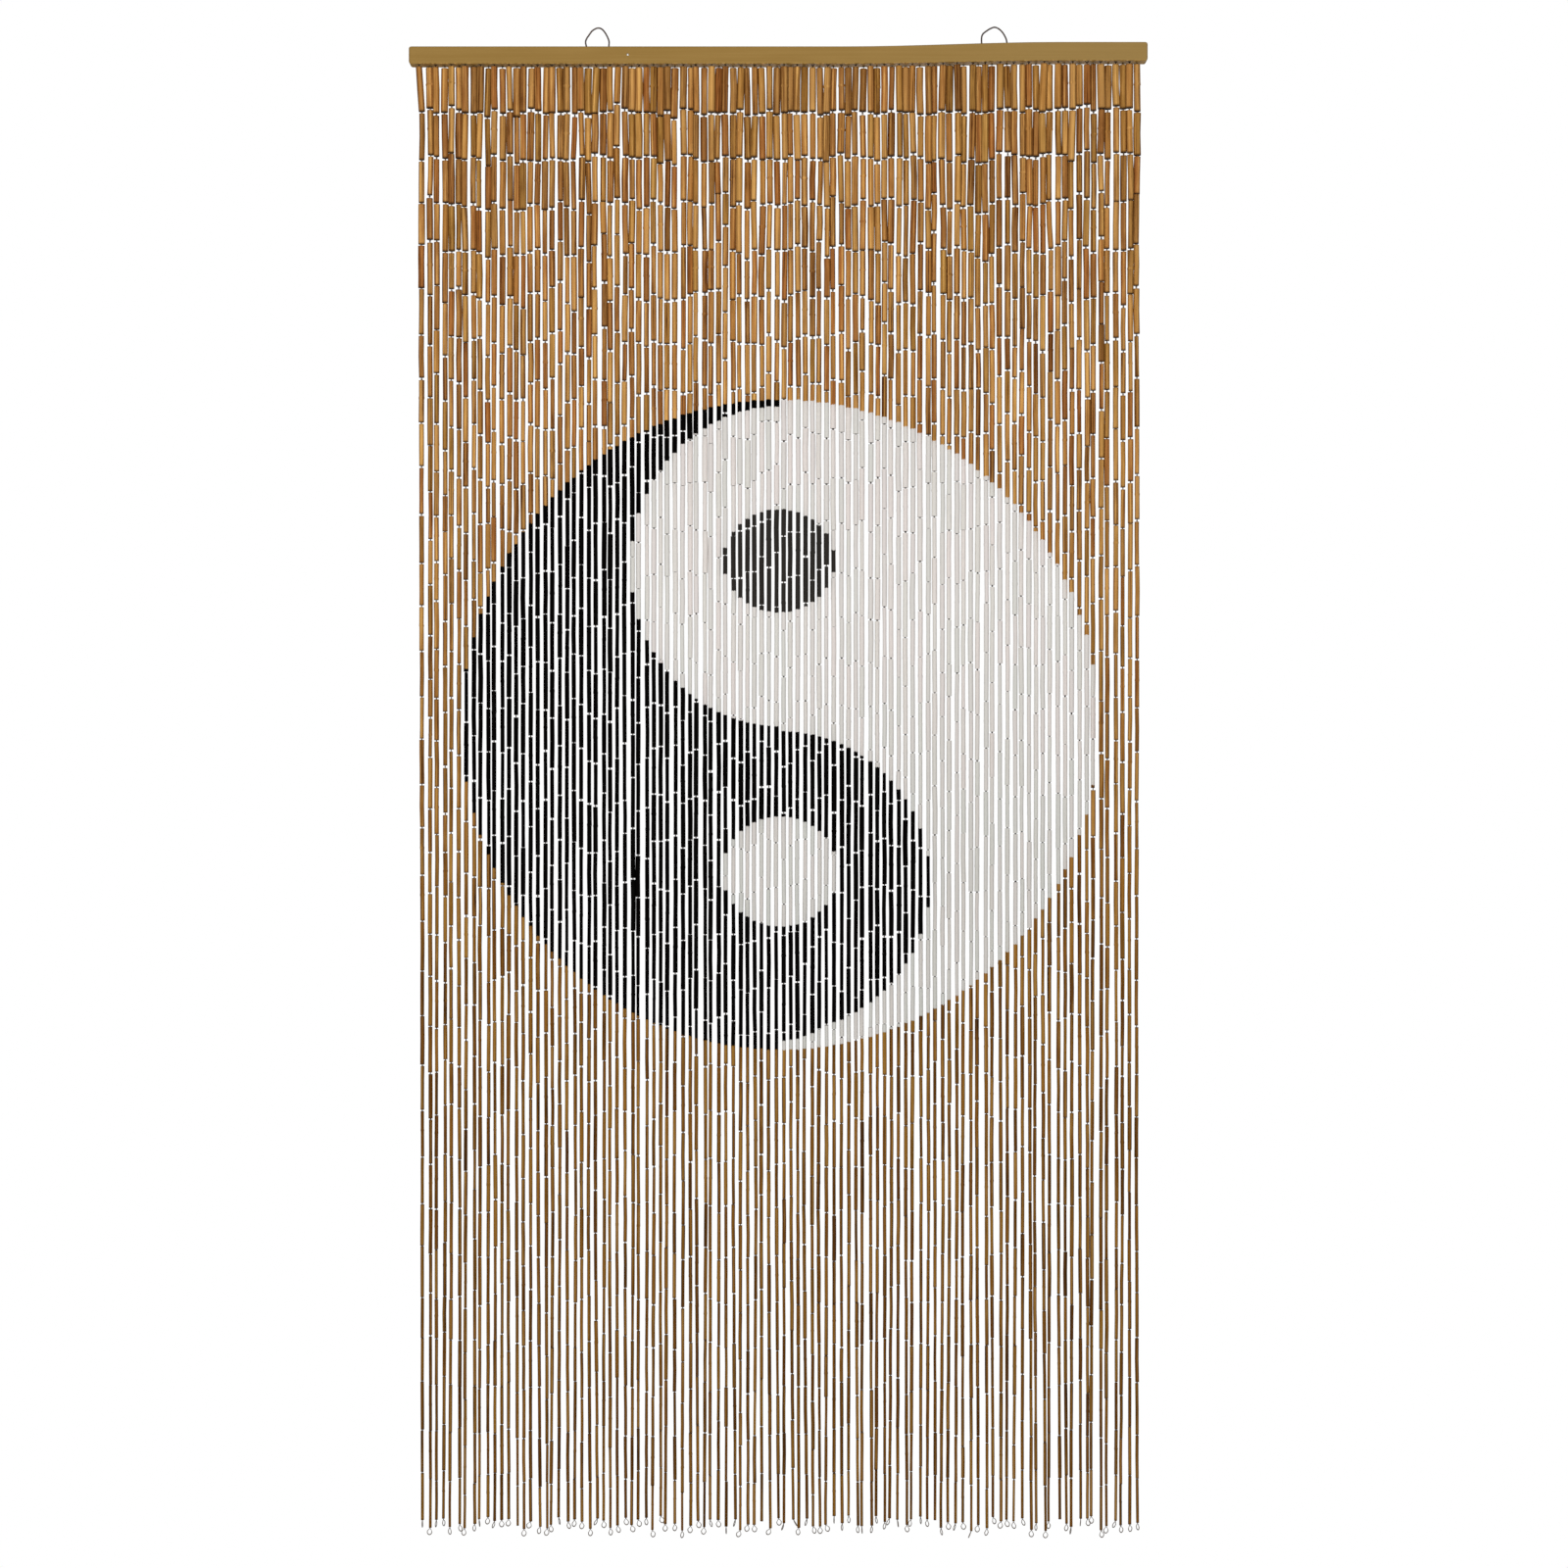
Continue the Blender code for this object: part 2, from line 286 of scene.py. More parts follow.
def rusty_wire():
    """Grey-brown wire with rust spots and faint drawing marks."""
    finish = Finish("dull_wire")
    place = finish.place()
    spots = finish.noise(place, RUST_SPOTS, 3.0, 0.6).fade(0.50, 0.66)
    drawn = finish.noise(finish.stretched(place, DRAWN_MARKS), 1.0, 1.0)
    steel = drawn.mixed(rgb(74, 64, 60), rgb(98, 87, 81))
    rust = rgb(88, 54, 34)
    finish.surface(
        Base_Color=(spots * 0.8).mixed(steel, rust),
        Metallic=0.45 - 0.4 * spots,
        Roughness=0.42 + 0.35 * spots,
        Normal=finish.bumped(spots + drawn * 0.4, 0.4, WIRE_BUMP),
    )
    return finish.material


loop_wire = rusty_wire()
for side in ("left", "right"):
    loop = smooth_copy(
        f"hang_loop_{side}", f"wire_loop_{side}", loop_wire, LOOP_SHARP_ANGLE, LOOP_SMOOTHING
    )


# Nail
# A bright wire nail in the bar's front, beside the left loop. Its flat head stands a
# little proud and carries the marks of the hammer.

NAIL_SHARP_ANGLE = 40
HAMMER_MARKS = 1500.0
NAIL_BUMP = 0.00006


def nail_metal():
    """Bright steel with faint hammer marks."""
    finish = Finish("nail_metal")
    dents = finish.noise(finish.place(), HAMMER_MARKS, 2.0)
    finish.surface(
        Base_Color=dents.mixed(rgb(196, 192, 184), rgb(226, 222, 214)),
        Metallic=0.85 - 0.3 * dents,
        Roughness=0.24 + 0.2 * dents,
        Normal=finish.bumped(dents, 0.5, NAIL_BUMP),
    )
    return finish.material


nail = smooth_copy("header_nail", "bright_nail", nail_metal(), NAIL_SHARP_ANGLE, 0)


# Painted disc
# A yin-yang, a traditional figure, painted across the hanging strands in flat black
# and white. Each tube takes its paint whole, so that an edge is a level cut across it,
# and the coat is thin and speckled in places.

DISC = {"x": 0.0027, "z": -0.9178, "across": 0.4322, "up": 0.4409}
WHITE_LOBE = {"x": 0.0027, "z": -0.7030, "across": 0.2035, "up": 0.2168}
BLACK_LOBE = {"x": 0.0027, "z": -1.1310, "across": 0.2035, "up": 0.2045}
BLACK_TAIL = {"x": 0.0027, "z": -1.2900, "across": 0.0750, "up": 0.0565}
BLACK_EYE = {"x": 0.0012, "z": -0.6958, "across": 0.0755, "up": 0.0700}
WHITE_EYE = {"x": 0.0026, "z": -1.1170, "across": 0.0785, "up": 0.0745}
BRUSH_RAGGED = 0.0045
# Where the white turns greyer lower down, as painted shade
WHITE_SHADED_FROM_Z = -0.75
WHITE_SHADED_TO_Z = -1.15
# The black lobe's paint is thick and makes its tubes wider by this factor
LOBE_COAT = 1.09


def within(x, z, oval):
    """1 within an oval of the disc and 0 outside it. It works on numbers and readings."""
    aside = (x - oval["x"]) / oval["across"]
    above = (z - oval["z"]) / oval["up"]
    return aside * aside + above * above < 1.0


def hangs_white(x, z):
    """True where a joint hangs in the disc's white paint."""
    white = x > DISC["x"] and not within(x, z, BLACK_LOBE)
    white = white and not within(x, z, BLACK_TAIL) or within(x, z, WHITE_LOBE)
    white = white and not within(x, z, BLACK_EYE) or within(x, z, WHITE_EYE)
    return white and within(x, z, DISC)


def disc_paint(pick, worn, ragged, tube_x, z):
    """The colour of the disc's paint, and a reading that is 1 wherever there is paint."""
    edge_z = z + (ragged - 0.5) * BRUSH_RAGGED
    black_eye = within(tube_x, edge_z, BLACK_EYE)
    right_half = tube_x > DISC["x"]
    white = right_half - within(tube_x, edge_z, BLACK_LOBE)
    white = (white - within(tube_x, edge_z, BLACK_TAIL)).clamp()
    white = (white + within(tube_x, edge_z, WHITE_LOBE)).clamp()
    white = (white - black_eye + within(tube_x, edge_z, WHITE_EYE)).clamp()
    white_tone = pick.mixed(rgb(224, 216, 212), rgb(217, 215, 209))
    # Painted shade: the white turns greyer lower down, where thinner tubes show more of
    # their shaded edges
    shaded_lower_white = pick.mixed(rgb(208, 202, 197), rgb(201, 201, 195))
    white_tone = z.fade(WHITE_SHADED_FROM_Z, WHITE_SHADED_TO_Z).mixed(white_tone, shaded_lower_white)
    worn_white, worn_black, eye_black = rgb(182, 176, 166), rgb(40, 40, 37), rgb(48, 45, 42)
    white_coat = (worn * 0.14).mixed(white_tone, worn_white)
    black_tone = pick.mixed(rgb(5, 3, 3), rgb(8, 7, 6))
    black_coat = (worn * 0.25).mixed(black_tone, worn_black)
    black_coat = black_eye.mixed(black_coat, eye_black)
    return white.mixed(black_coat, white_coat), within(tube_x, edge_z, DISC)


# Tubes
# Thin bamboo sawn square into tubes of about 60 mm, open at both ends, threaded into a
# hundred strands that narrow from 10 mm under the bar to 4 mm at the foot. A strand
# bends only at its joints. Some tubes hold a node of the cane or are slightly bent.

# Where the strands hang
STRAND_COUNT = 100
STRAND_WIDTH = 0.9792
STRAND_CENTRE_X = 0.0022
STRAND_ROW_Y = 0.0045
STRAND_END_Z = -2.0025
STRAND_END_RAGGED = 0.009
TUBES_TOP_Z = -0.0285
TUBES_TOP_LIFT = 0.0013
TUBES_TOP_UNEVEN = 0.0012
BACK_ROW_RISE = 0.0012
TUBE_ROW_PITCH = 0.0619

# How far a strand strays from a straight line at its joints
BENDS_SEED = 41000
STRAY_MEMORY = 0.60
STRAY_FRESH = 0.80
STRAY_MOST = 1.90
END_STRAY = 0.0018
DEPTH_STRAY = 0.0002
FIRST_STRAND_LEAN = 0.0050
STRAND_BENDS = (
    # joint number from the top, usual stray (m)
    (0, 0.0010),
    (1, 0.0011),
    (2, 0.0011),
    (3, 0.0010),
    (4, 0.0009),
    (7, 0.0007),
    (12, 0.0006),
    (18, 0.0007),
    (25, 0.0011),
)

# How long its tubes are, and how far apart
LENGTHS_SEED = 287000
TUBES_PER_STRAND = 32
ORDERLY_ROWS = 2
ORDERLY_SPREAD = 0.040
LENGTH_SPREAD = 0.075
SHORT_TUBE_CHANCE = 0.04
SHORT_TUBE_SHARE = 0.76
UNEVEN_STRAND = 27
UNEVEN_TOP_SHARE = 0.77
JOINT_GAP_SPREAD = 0.32
JOINT_GAP_LEAST = 0.0006
WHITE_JOINT_SHARE = 0.74
JOINT_GAPS = (
    # depth below the bar (m), gap between two tubes (m)
    (0.00, 0.0037),
    (0.14, 0.0031),
    (0.36, 0.0029),
    (0.64, 0.0019),
    (1.10, 0.0018),
    (1.98, 0.0013),
)

# How thick they are, and how straight they hang
TUBES_SEED = 369000
THICKNESS_SPREAD = 0.09
THINNEST, THICKEST = 0.82, 1.13
TUBE_JITTER_X = 0.0003
TUBE_JITTER_Y = 0.0002
STRAND_TAPER = (
    # depth below the bar (m), diameter (m)
    (0.00, 0.0098),
    (0.07, 0.0092),
    (0.16, 0.0083),
    (0.42, 0.0071),
    (0.71, 0.0063),
    (1.11, 0.0056),
    (1.35, 0.0050),
    (1.67, 0.0047),
    (1.90, 0.0043),
    (1.98, 0.0036),
)

# One tube's shape: each form is a few rings between its two ends
TUBE_SIDES = 12
BORE_SHARE = 0.68
SKIN_FROM_SHARE = 0.8
SAME_LEVEL = 0.001
SEAM_REACH = 0.0001
CAP_TILT = 0.9
CRISP_RIM_ANGLE = 50
FORM_DIGITS = 6
TUBE_FORMS = {
    # along the tube, radius, sideways, each as a share of the length or radius
    "plain": ((0.45, 1.03, 0.0),),
    "bent": ((0.52, 1.01, 0.16),),
    "waisted": ((0.28, 0.95, 0.0), (0.70, 0.97, 0.06)),
    "node": ((0.54, 0.97, 0.0), (0.58, 1.09, 0.03), (0.62, 0.98, 0.06)),
}
FORM_CHANCES = (0.42, 0.20, 0.20, 0.18)

# Its skin: the scales of the noises along the tube, and where the cane darkens
GRAIN_STEP = 0.37
DARKENS_FROM_Z = -0.50
DARKENS_TO_Z = -1.20
FOOT_FROM_Z = -1.05
FOOT_TO_Z = -1.85
FIBRES = (520.0, 520.0, 7.0)
BLOTCHES = (150.0, 150.0, 40.0)
BRUSH_MARKS = (700.0, 700.0, 60.0)
THIN_PAINT = (1300.0, 1300.0, 26.0)
SKIN_BUMP = 0.00025
# Where the ends darken: partly the cut ends' own brown, partly painted shade at the joints
SAWN_SHADE_LOW_END = 0.045
SAWN_SHADE_HIGH_END = 0.97


def strand_home(number):
    """Where a strand would hang if it were straight, and the height of its top."""
    x = STRAND_CENTRE_X + (number - (STRAND_COUNT - 1) / 2) * STRAND_WIDTH / STRAND_COUNT
    share = (x - BAR_RISE_FROM_X) / (BAR_RISE_TO_X - BAR_RISE_FROM_X)
    share = min(max(share, 0.0), 1.0)
    return x, TUBES_TOP_Z + BAR_UNDERSIDE_RISE * eased(share)


def strand_bends(number):
    """The points that one strand's line passes through, from its top to its end."""
    chance = random.Random(BENDS_SEED + number)
    home_x, top_z = strand_home(number)
    row_y = STRAND_ROW_Y if number % 2 else -STRAND_ROW_Y
    levels = [(top_z - joint * TUBE_ROW_PITCH, stray) for joint, stray in STRAND_BENDS]
    ragged = chance.uniform(-STRAND_END_RAGGED, STRAND_END_RAGGED)
    levels.append((STRAND_END_Z + ragged, END_STRAY))
    points = []
    offset = 0.0
    for z, stray in levels:
        offset = STRAY_MEMORY * offset + STRAY_FRESH * chance.gauss(0.0, stray)
        offset = min(max(offset, -STRAY_MOST * stray), STRAY_MOST * stray)
        y = row_y + chance.uniform(-DEPTH_STRAY, DEPTH_STRAY)
        points.append(Vector((home_x + offset, y, z)))
    if number == 0:
        points[0].x -= FIRST_STRAND_LEAN
    return points


def at_height(points, z):
    """The point of a strand's line at a height."""
    for upper, lower in zip(points, points[1:]):
        if z >= lower.z:
            return upper.lerp(lower, (upper.z - z) / (upper.z - lower.z))
    return points[-1].copy()


def size_at(table, z):
    """The size that a table of depths gives for a height."""
    depth = TUBES_TOP_Z - z
    for (d0, v0), (d1, v1) in zip(table, table[1:]):
        if depth <= d1:
            return v0 + (v1 - v0) * max(depth - d0, 0.0) / (d1 - d0)
    return table[-1][1]


def tube_cuts(number, top_z, end_z):
    """Heights of the joints of one strand, from the bar down to its end."""
    chance = random.Random(LENGTHS_SEED + number)
    shares = [1.0 + chance.gauss(0.0, ORDERLY_SPREAD) for row in range(ORDERLY_ROWS)]
    if number == UNEVEN_STRAND:
        shares[0] = UNEVEN_TOP_SHARE
    loose = []
    for row in range(ORDERLY_ROWS, TUBES_PER_STRAND):
        share = 1.0 + chance.gauss(0.0, LENGTH_SPREAD)
        if chance.random() < SHORT_TUBE_CHANCE:
            share *= SHORT_TUBE_SHARE
        loose.append(share)
    left = (top_z - end_z) / TUBE_ROW_PITCH - sum(shares)
    shares += [share * left / sum(loose) for share in loose]
    cuts = [top_z]
    for share in shares:
        cuts.append(cuts[-1] - share * TUBE_ROW_PITCH)
    cuts[0] += TUBES_TOP_LIFT + chance.uniform(-TUBES_TOP_UNEVEN, TUBES_TOP_UNEVEN)
    cuts[0] += BACK_ROW_RISE * (number % 2)
    return cuts


def hang_tubes(number):
    """Every tube of one strand, from the top: its form, ends, radius, turn and tint."""
    chance = random.Random(TUBES_SEED + number)
    points = strand_bends(number)
    cuts = tube_cuts(number, points[0].z, points[-1].z)
    tubes = []
    for high, low in zip(cuts, cuts[1:]):
        gap = size_at(JOINT_GAPS, low) * chance.gauss(1.0, JOINT_GAP_SPREAD)
        in_white = hangs_white(at_height(points, low).x, low)
        gap = max(gap * (WHITE_JOINT_SHARE if in_white else 1.0), JOINT_GAP_LEAST)
        top = at_height(points, high)
        bottom = at_height(points, low + gap)
        thickness = size_at(STRAND_TAPER, (high + low) / 2)
        for end in (top, bottom):
            end.x += chance.uniform(-TUBE_JITTER_X, TUBE_JITTER_X)
            end.y += chance.uniform(-TUBE_JITTER_Y, TUBE_JITTER_Y)
        swell = min(max(chance.gauss(1.0, THICKNESS_SPREAD), THINNEST), THICKEST)
        middle = (top + bottom) / 2
        in_eye = within(middle.x, middle.z, WHITE_EYE)
        if within(middle.x, middle.z, BLACK_LOBE) and not in_eye:
            thickness *= LOBE_COAT
        tubes.append(
            {
                "form": chance.choices(list(TUBE_FORMS), FORM_CHANCES)[0],
                "top": top,
                "bottom": bottom,
                "radius": thickness * swell / 2,
                "turn": chance.uniform(0.0, math.tau),
                "ends_in_white": in_white,
                "tint": (chance.random(), chance.random(), (top.x + bottom.x) / 2),
            }
        )
    return tubes


class Form:
    """A small shape kept as arrays, ready to be repeated hundreds of times."""

    def __init__(self, bm):
        # A spin may leave its corners and faces in another order each run
        corners = sorted(
            bm.verts, key=lambda vert: [round(part, FORM_DIGITS) for part in vert.co]
        )
        for rank, vert in enumerate(corners):
            vert.index = rank
        faces = sorted(bm.faces, key=lambda face: sorted(vert.index for vert in face.verts))
        self.corners = np.array([vert.co for vert in corners])
        self.faces = [[vert.index for vert in face.verts] for face in faces]
        self.smooth = [face.smooth for face in faces]
        bm.free()


def tube_form(rings):
    """A hollow tube of unit radius and length, spun from its wall's closed outline."""
    bm = bmesh.new()
    wall = [(BORE_SHARE, 0.0), (1.0, 0.0)]
    wall += [(radius, along) for along, radius, aside in rings]
    wall += [(1.0, 1.0), (BORE_SHARE, 1.0)]
    corners = [bm.verts.new((radius, 0.0, along)) for radius, along in wall]
    outline = [bm.edges.new(pair) for pair in zip(corners, corners[1:] + corners[:1])]
    bmesh.ops.spin(
        bm,
        geom=corners + outline,
        cent=(0, 0, 0),
        axis=(0, 0, 1),
        angle=math.tau,
        steps=TUBE_SIDES,
        use_merge=True,
    )
    bmesh.ops.remove_doubles(bm, verts=bm.verts, dist=SEAM_REACH)
    for along, radius, aside in rings:
        ring = [vert for vert in bm.verts if abs(vert.co.z - along) < SAME_LEVEL]
        bmesh.ops.translate(bm, verts=ring, vec=(aside, 0, 0))
    bmesh.ops.recalc_face_normals(bm, faces=bm.faces)
    for face in bm.faces:
        face.smooth = abs(face.normal.z) < CAP_TILT
    return Form(bm)


def join_copies(name, copies, material):
    """One mesh of many placed copies of small forms.

    A copy is its form, its placing matrix and its attributes: one vector for the whole
    copy, or a vector for each corner of its form.
    """
    corners, faces, smooth, first = [], [], [], 0
    attributes = {label: [] for label in copies[0][2]}
    for form, placing, values in copies:
        turn = np.array(placing.to_3x3())
        corners.append(form.corners @ turn.T + np.array(placing.translation))
        faces += [[first + index for index in face] for face in form.faces]
        smooth += form.smooth
        first += len(form.corners)
        for label, value in values.items():
            attributes[label].append(np.broadcast_to(value, form.corners.shape))
    mesh = bpy.data.meshes.new(name)
    mesh.from_pydata(np.concatenate(corners), [], faces)
    mesh.polygons.foreach_set("use_smooth", smooth)
    for label, rows in attributes.items():
        attribute = mesh.attributes.new(label, "FLOAT_VECTOR", "POINT")
        flat = np.concatenate(rows).astype(np.float32).ravel()
        attribute.data.foreach_set("vector", flat)
    mesh.materials.append(material)
    piece = bpy.data.objects.new(name, mesh)
    bpy.context.scene.collection.objects.link(piece)
    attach(piece, "root")
    return piece


def placed_tube(form, tube, shift):
    """One copy of a tube form between a tube's two ends, with all that its skin reads.

    tube_part holds the share of the length, 1 on the outer skin and 0 in the bore, and
    how far a corner lies on the tube's flanks as seen from the front, where the skin
    carries painted shade.
    """
    line = tube["top"] - tube["bottom"]
    aim = line.to_track_quat("Z", "Y").to_matrix().to_4x4()
    size = (tube["radius"], tube["radius"], line.length)
    placing = Matrix.Translation(tube["bottom"]) @ aim
    placing = placing @ Matrix.Rotation(tube["turn"], 4, "Z")
    placing = placing @ Matrix.Diagonal((*size, 1.0))
    skin = np.hypot(form.corners[:, 0], form.corners[:, 1]) > SKIN_FROM_SHARE
    along = form.corners[:, 2]
    outwards = form.corners * (1.0, 1.0, 0.0) @ np.array(placing.to_3x3()).T
    # How far each corner turns to the side, seen from the front: the skin darkens there as
    # painted shade
    flank_shade = abs(outwards[:, 0]) / np.hypot(outwards[:, 0], outwards[:, 1])
    attributes = {
        "tint": tube["tint"],
        "grain": form.corners * size + (0.0, 0.0, shift),
        "tube_part": np.stack([along, skin, flank_shade], axis=1),
    }
    return form, placing, attributes


def cane_colour(finish, pick, depth):
    """Bamboo by the tube's own tint, golden at the top and dark brown further down."""
    upper_stops = (
        (0.00, rgb(176, 111, 54)),
        (0.20, rgb(159, 107, 56)),
        (0.42, rgb(188, 131, 67)),
        (0.62, rgb(169, 123, 58)),
        (0.80, rgb(201, 149, 84)),
        (1.00, rgb(141, 95, 46)),
    )
    lower_stops = (
        (0.00, rgb(112, 68, 19)),
        (0.25, rgb(154, 104, 38)),
        (0.50, rgb(110, 66, 18)),
        (0.75, rgb(162, 115, 46)),
        (1.00, rgb(96, 58, 18)),
    )
    upper = finish.node("ShaderNodeValToRGB", {"stops": upper_stops}, {0: pick})
    lower = finish.node("ShaderNodeValToRGB", {"stops": lower_stops}, {0: pick})
    return depth.mixed(upper, lower)


def bamboo_skin():
    """Streaked bamboo under the disc, with painted shade on flanks, in the bore and partly
    at the ends.
    """
    finish = Finish("bamboo_skin")
    tint, grain, tube_part = [
        finish.node("ShaderNodeAttribute", {"attribute_name": label}, output=1)
        for label in ("tint", "grain", "tube_part")
    ]
    pick, tone, tube_x = finish.parts(tint)
    along, skin_side, flank_shade = finish.parts(tube_part)
    z = finish.parts(finish.place())[2]

    fibres = finish.noise(finish.stretched(grain, FIBRES), 1.0, 3.0, 0.6)
    blotches = finish.noise(finish.stretched(grain, BLOTCHES), 1.0, 2.0)
    depth = z.fade(DARKENS_FROM_Z, DARKENS_TO_Z)
    cane = cane_colour(finish, pick, depth)
    # A dark brown for the fibres' streaks and the foot, and also the colour of the painted
    # shade on the flanks
    dark = depth.mixed(rgb(84, 43, 11), rgb(54, 31, 11))
    pale = depth.mixed(rgb(230, 176, 100), rgb(176, 132, 66))
    shade = fibres * 1.9 + blotches * 0.3 + tone * 0.30 - 0.77
    cane = shade.fade(0.54, 0.90).mixed(cane, dark)
    cane = shade.fade(0.44, 0.10).mixed(cane, pale)
    cane = (z.fade(FOOT_FROM_Z, FOOT_TO_Z) * 0.30).mixed(cane, dark)
    # Painted shade on the flanks: the cane darkens where it turns away from the front, less
    # lower down
    cane = (flank_shade.fade(0.30, 0.95) * (0.36 - 0.28 * depth)).mixed(cane, dark)

    ragged = finish.noise(finish.stretched(grain, BRUSH_MARKS), 1.0, 3.0, 0.7)
    thin = finish.noise(finish.stretched(grain, THIN_PAINT), 1.0, 2.0)
    worn = (thin * 0.6 + blotches * 0.4).fade(0.52, 0.74)
    paint, painted = disc_paint(pick, worn, ragged, tube_x, z)
    # The ends darken, partly as the cut ends' own brown and partly as painted shade at the
    # joints, most at the lower end
    sawn_and_shaded_ends = along.fade(SAWN_SHADE_LOW_END, 0.0) * 0.85 + along.fade(SAWN_SHADE_HIGH_END, 1.0) * 0.45
    sawn_and_shaded_ends = sawn_and_shaded_ends * (1.0 - painted)
    sawn_and_shade_brown, bore_shade_brown = rgb(62, 36, 16), rgb(52, 32, 16)
    outside = sawn_and_shaded_ends.mixed(painted.mixed(cane, paint), sawn_and_shade_brown)
    # Painted shade in the bore: a dark brown inside the tube, partly taken over by the paint
    # in painted tubes
    bore = (painted * 0.7).mixed(bore_shade_brown, paint)
    finish.surface(
        Base_Color=skin_side.fade(0.35, 0.9).mixed(bore, outside),
        Roughness=0.44 + 0.2 * fibres + 0.2 * painted,
        Coat_Weight=(1.0 - painted) * 0.05,
        Normal=finish.bumped(fibres * 0.6 + blotches * 0.4, 0.35, SKIN_BUMP),
        Specular_IOR_Level=0.0,
        Coat_Roughness=0.35,
    )
    return finish.material


TUBE_PIECES = (
    # piece, first row, row after its last
    ("tubes_under_bar", 0, 8),
    ("tubes_upper_disc", 8, 16),
    ("tubes_lower_disc", 16, 24),
    ("tubes_at_foot", 24, 32),
)

strand_tubes = [hang_tubes(number) for number in range(STRAND_COUNT)]
tube_forms = {name: tube_form(rings) for name, rings in TUBE_FORMS.items()}
skin = bamboo_skin()
for name, first_row, end_row in TUBE_PIECES:
    tubes = [tube for strand in strand_tubes for tube in strand[first_row:end_row]]
    copies = []
    for number, tube in enumerate(tubes):
        copies.append(placed_tube(tube_forms[tube["form"]], tube, number * GRAIN_STEP))
    piece = join_copies(name, copies, skin)
    piece.data.set_sharp_from_angle(angle=math.radians(CRISP_RIM_ANGLE))
    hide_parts("strands")


# Wire links
# Every tube is threaded on a thin, dull steel wire that ends in a small eye. The eye
# under each tube is hooked into the eye over the next one, in the gap between them.
# In the white paint the joints are close and their wire is darker, so that each is a dark
# dot.

LINK_WIRE = 0.00065
LINK_EYE = 0.00090
LINK_EYE_DROP = 0.00050
LINK_EYE_STEPS = 6
LINK_SIDES = 4
LINK_STUB = 0.0038
LINK_HEIGHT = 2 * (LINK_EYE_DROP + LINK_EYE + LINK_WIRE)
LINK_LEAST = 0.75
LINK_IN_WHITE = 1.12
WIRES_SEED = 46
WIRE_SPOTS = 700.0


def add_eye(bm, radius, wire, steps, sides):
    """A closed ring of wire, upright in the XZ plane round the middle."""
    before = set(bm.verts)
    section = bmesh.ops.create_circle(bm, segments=sides, radius=wire, cap_ends=False)
    verts = section["verts"]
    bmesh.ops.translate(bm, verts=verts, vec=(radius, 0, 0))
    bmesh.ops.spin(
        bm,
        geom=verts + list({edge for vert in verts for edge in vert.link_edges}),
        cent=(0, 0, 0),
        axis=(0, 1, 0),
        angle=math.tau,
        steps=steps,
        use_merge=True,
    )
    return [vert for vert in bm.verts if vert not in before]


def add_rod(bm, wire, sides, low_z, high_z):
    """A straight upright wire with closed ends."""
    rod = bmesh.ops.create_cone(
        bm,
        cap_ends=True,
        segments=sides,
        radius1=wire,
        radius2=wire,
        depth=high_z - low_z,
    )
    bmesh.ops.translate(bm, verts=rod["verts"], vec=(0, 0, (low_z + high_z) / 2))


def finished_wire(bm):
    """The wires of a bmesh as a smooth form with its faces outwards."""
    bmesh.ops.recalc_face_normals(bm, faces=bm.faces)
    for face in bm.faces:
        face.smooth = True
    return Form(bm)


def link_form():
    """Two hooked eyes at right angles, each with the start of its tube's wire."""
    bm = bmesh.new()
    for way, turned in ((1, 0.0), (-1, math.pi / 2)):
        eye = add_eye(bm, LINK_EYE, LINK_WIRE, LINK_EYE_STEPS, LINK_SIDES)
        spun = Matrix.Rotation(turned, 3, "Z")
        bmesh.ops.rotate(bm, verts=eye, cent=(0, 0, 0), matrix=spun)
        bmesh.ops.translate(bm, verts=eye, vec=(0, 0, way * LINK_EYE_DROP))
        near = way * (LINK_EYE_DROP + LINK_EYE)
        far = near + way * LINK_STUB
        add_rod(bm, LINK_WIRE, LINK_SIDES, min(near, far), max(near, far))
    return finished_wire(bm)


def thin_wire(name, steel, rust):
    """Thin dull wire, spotted with rust."""
    finish = Finish(name)
    spots = finish.noise(finish.place(), WIRE_SPOTS, 2.0).fade(0.46, 0.62)
    finish.surface(
        Base_Color=(spots * 0.7).mixed(steel, rust),
        Metallic=0.3 - 0.25 * spots,
        Roughness=0.45 + 0.3 * spots,
        Specular_IOR_Level=0.3,
    )
    return finish.material


link_wire = thin_wire("link_wire", rgb(128, 114, 100), rgb(96, 70, 50))
dark_wire = thin_wire("dark_wire", rgb(62, 47, 37), rgb(48, 32, 22))

LINK_PIECES = (
    # piece, first joint, joint after its last
    ("links_upper", 0, 11),
    ("links_middle", 11, 21),
    ("links_lower", 21, 31),
)

link = link_form()
chance = random.Random(WIRES_SEED)
links_in_white = []
for name, first_joint, end_joint in LINK_PIECES:
    copies = []
    for tubes in strand_tubes:
        for over, under in zip(tubes[first_joint:end_joint], tubes[first_joint + 1:]):
            gap = (over["bottom"] - under["top"]).length
            placing = Matrix.Translation((over["bottom"] + under["top"]) / 2)
            placing = placing @ Matrix.Rotation(chance.uniform(0.0, math.pi), 4, "Z")
            if over["ends_in_white"]:
                size, chain = LINK_IN_WHITE, links_in_white
            else:
                size, chain = min(max(gap / LINK_HEIGHT, LINK_LEAST), 1.0), copies
            chain.append((link, placing @ Matrix.Scale(size, 4), {}))
    piece = join_copies(name, copies, link_wire)
piece = join_copies("links_in_white", links_in_white, dark_wire)


# Bar eyes
# A hundred small wire eyes driven into the bar's underside carry the strands. The top
# eye of each strand hangs in one, with its wire running down into the first tube.

BAR_EYE_WIRE = 0.0005
BAR_EYE_RADIUS = 0.0019
BAR_EYE_DROP = 0.0004
BAR_EYE_LEG = 0.0018
BAR_EYE_STEPS = 12
BAR_EYE_TURN = 0.25


